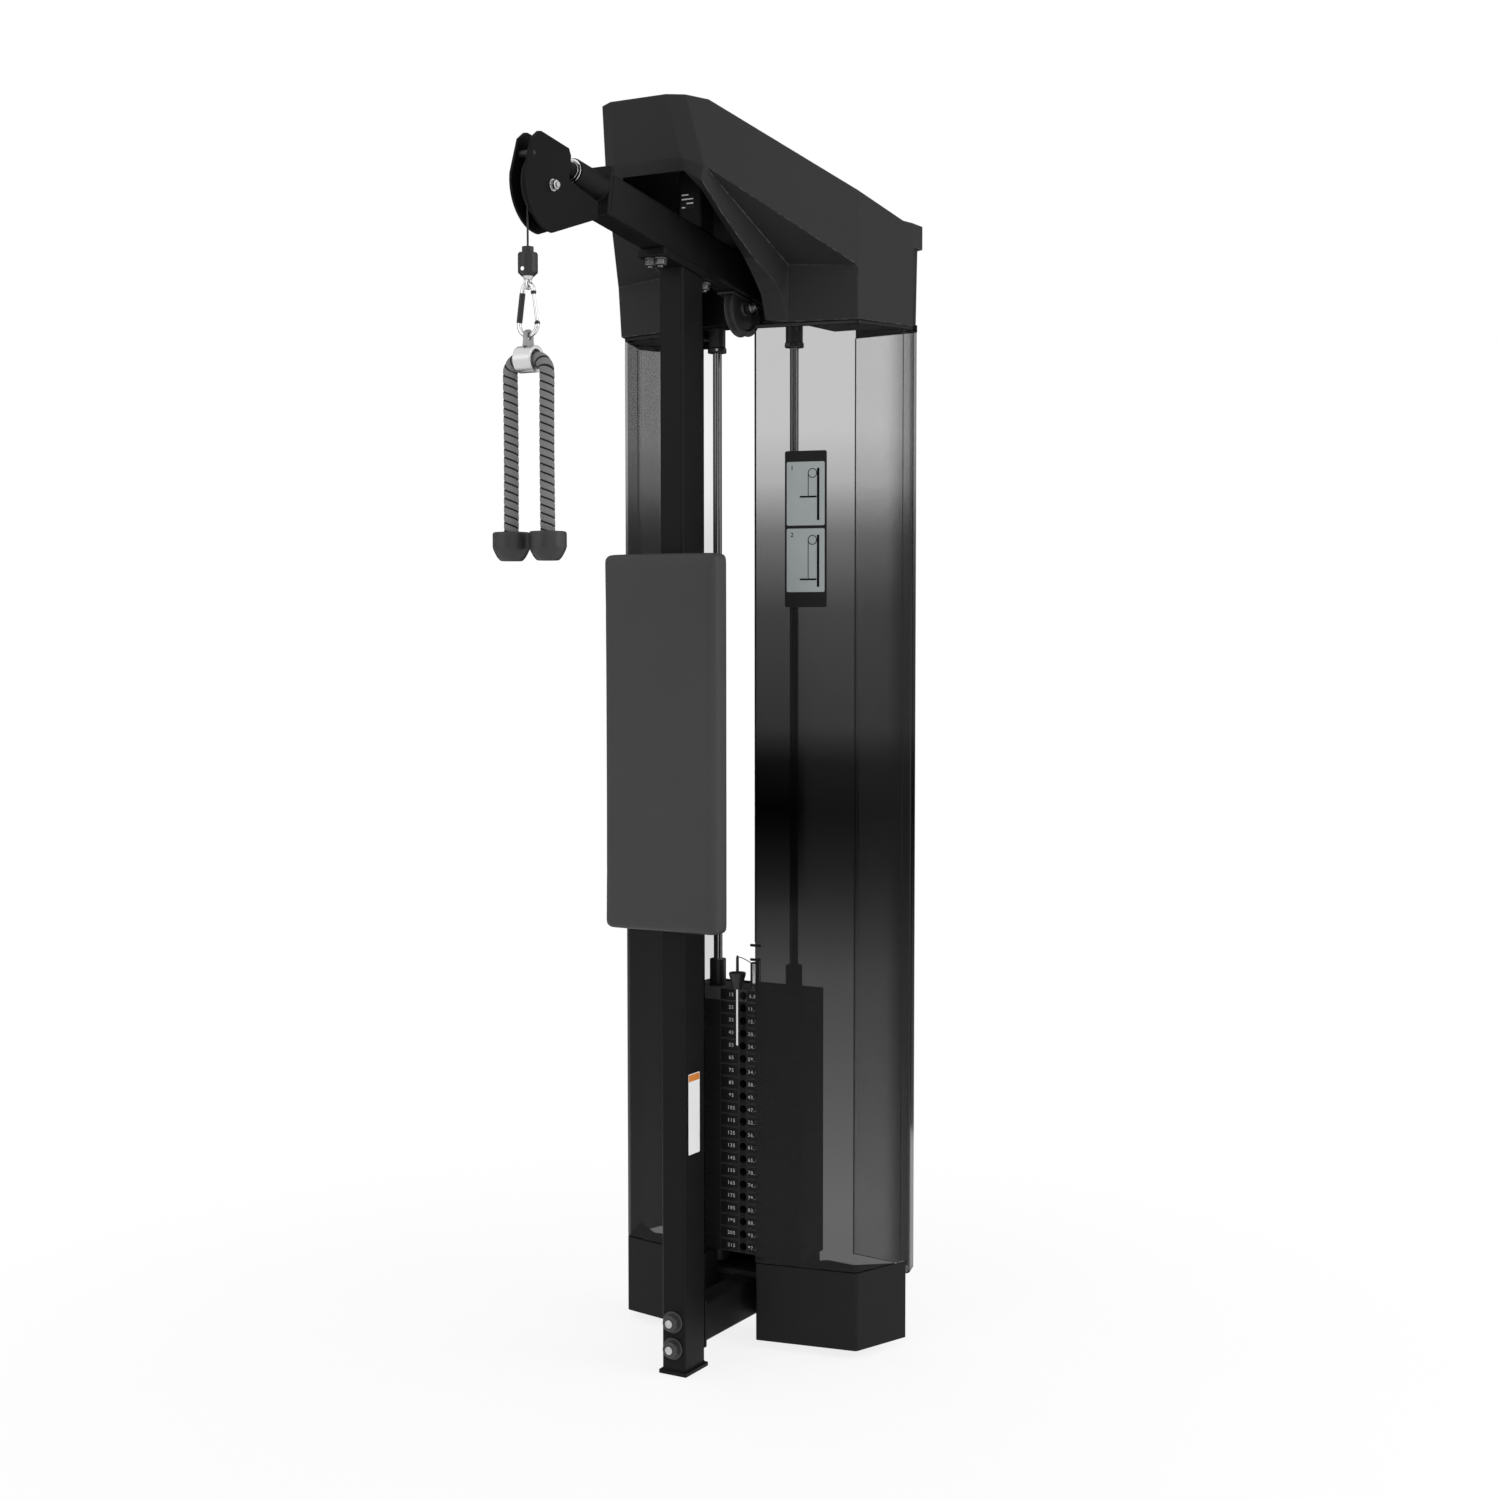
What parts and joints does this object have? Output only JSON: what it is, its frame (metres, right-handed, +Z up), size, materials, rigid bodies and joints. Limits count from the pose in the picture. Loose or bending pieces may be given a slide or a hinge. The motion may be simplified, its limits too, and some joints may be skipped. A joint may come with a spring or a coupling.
{
  "type": "high pulley triceps station",
  "caption": "Free-standing gym station: a shrouded weight stack drives a cable over a swivelling high pulley to a triceps rope, with a back pad on its front post.",
  "frame": {"origin": "centre of the front post's foot plate, on the floor", "axes": "+Z up, +X to the user's right as they face the station, +Y away from the user towards the weight stack"},
  "size_m": [0.626, 0.9325, 2.3746],
  "materials": {
    "powder_coat": "fine-textured black powder coat",
    "black_steel": "smooth black paint",
    "chrome": "polished plating",
    "zinc": "bright zinc plating",
    "rubber": "matt moulded rubber",
    "hood_plastic": "fine-grained dark grey moulding",
    "tinted_acrylic": "dark tinted translucent sheet",
    "cover_plastic": "black moulded cover",
    "vinyl": "smooth dark grey vinyl over foam",
    "cable_sheath": "black nylon sheath over steel strand",
    "plate_paint": "satin black paint on steel",
    "nylon": "black moulded nylon",
    "rope_fibre": "grey twisted fibre with dark tracer yarns"
  },
  "bodies": {
    "frame": {"front_post": "powder_coat", "post_foot_plate": "powder_coat", "post_top_plate": "powder_coat", "boom": "powder_coat", "swivel_sleeve": "powder_coat", "base_beam": "powder_coat", "rear_cross_beam": "powder_coat", "rear_foot_left": "rubber", "rear_foot_right": "rubber", "stack_base_plate": "black_steel", "guide_rod_left": "chrome", "guide_rod_right": "chrome", "rod_collar_left": "black_steel", "rod_collar_right": "black_steel", "stack_bumper_left": "rubber", "stack_bumper_right": "rubber", "rod_yoke": "powder_coat", "rear_pulley_bracket": "black_steel", "rear_pulley_bolt": "zinc", "hood": "hood_plastic", "hood_support": "powder_coat", "shroud_left": "tinted_acrylic", "shroud_right": "tinted_acrylic", "base_cover_left": "cover_plastic", "base_cover_right": "cover_plastic", "back_pad": "vinyl", "post_bolt_lower": "zinc", "post_bolt_upper": "zinc", "cable_boom_run": "cable_sheath", "cable_rear_drop": "cable_sheath", "weight_plate_01": "plate_paint", "weight_plate_02": "plate_paint", "weight_plate_03": "plate_paint", "weight_plate_04": "plate_paint", "weight_plate_05": "plate_paint", "weight_plate_06": "plate_paint", "weight_plate_07": "plate_paint", "weight_plate_08": "plate_paint", "weight_plate_09": "plate_paint", "weight_plate_10": "plate_paint", "weight_plate_11": "plate_paint", "weight_plates_lower": "plate_paint"},
    "carriage": {"head_plate": "plate_paint", "selector_stem": "zinc"},
    "rear_pulley_body": {"rear_pulley": "nylon"},
    "pulley_head": {"pulley_cheek_left": "powder_coat", "pulley_cheek_right": "powder_coat", "swivel_tube": "chrome", "front_pulley_bolt": "zinc", "cable_front_wrap": "cable_sheath", "cable_front_drop": "cable_sheath"},
    "front_pulley_body": {"front_pulley": "nylon"},
    "cable_end": {"cable_stop": "nylon"},
    "carabiner_body": {"carabiner": "chrome"},
    "gate_body": {"carabiner_gate": "chrome"},
    "rope_body": {"rope_collar": "chrome", "triceps_rope": "rope_fibre", "rope_end_left": "rubber", "rope_end_right": "rubber"},
    "pin_body": {"selector_pin": "nylon"}
  },
  "joints": [
    {"name": "stack_lift", "type": "slide", "parent": "frame", "child": "carriage", "axis": [0, 0, 1], "range_m": [0, 1.2], "deforming": ["cable_rear_drop"]},
    {"name": "rear_pulley_spin", "type": "hinge", "parent": "frame", "child": "rear_pulley_body", "pos_m": [0, 0.2285, 2.047], "axis": [1, 0, 0], "range_deg": [0, 1376]},
    {"name": "pulley_swivel", "type": "hinge", "parent": "frame", "child": "pulley_head", "pos_m": [0, -0.35962, 2.20541], "axis": [0, 0.9877, -0.1564], "range_deg": [-60, 60]},
    {"name": "front_pulley_spin", "type": "hinge", "parent": "pulley_head", "child": "front_pulley_body", "pos_m": [0, -0.43865, 2.1673], "axis": [1, 0, 0], "range_deg": [0, 1376]},
    {"name": "cable_pull", "type": "slide", "parent": "pulley_head", "child": "cable_end", "axis": [0, 0, -1], "range_m": [0, 1.2], "deforming": ["cable_front_drop"]},
    {"name": "carabiner_swing", "type": "hinge", "parent": "cable_end", "child": "carabiner_body", "pos_m": [0, -0.48865, 1.997], "axis": [1, 0, 0], "range_deg": [-30, 30]},
    {"name": "carabiner_gate_hinge", "type": "hinge", "parent": "carabiner_body", "child": "gate_body", "pos_m": [0.01798, -0.48865, 1.9345], "axis": [0, -1, 0], "range_deg": [0, 18], "stiffness_Nm_per_rad": 0.02, "springref_deg": -20.05},
    {"name": "rope_swing", "type": "hinge", "parent": "carabiner_body", "child": "rope_body", "pos_m": [0, -0.48865, 1.911], "axis": [1, 0, 0], "range_deg": [-35, 35]},
    {"name": "pin_swing", "type": "hinge", "parent": "carriage", "child": "pin_body", "pos_m": [-0.004, 0.213, 0.765], "axis": [1, 0, 0], "range_deg": [-45, 0]}
  ],
  "couplings": [
    {"joint": "cable_pull", "follows": "stack_lift", "ratio": 1},
    {"joint": "front_pulley_spin", "follows": "stack_lift", "rad_per_m": 20},
    {"joint": "rear_pulley_spin", "follows": "stack_lift", "rad_per_m": 20}
  ]
}
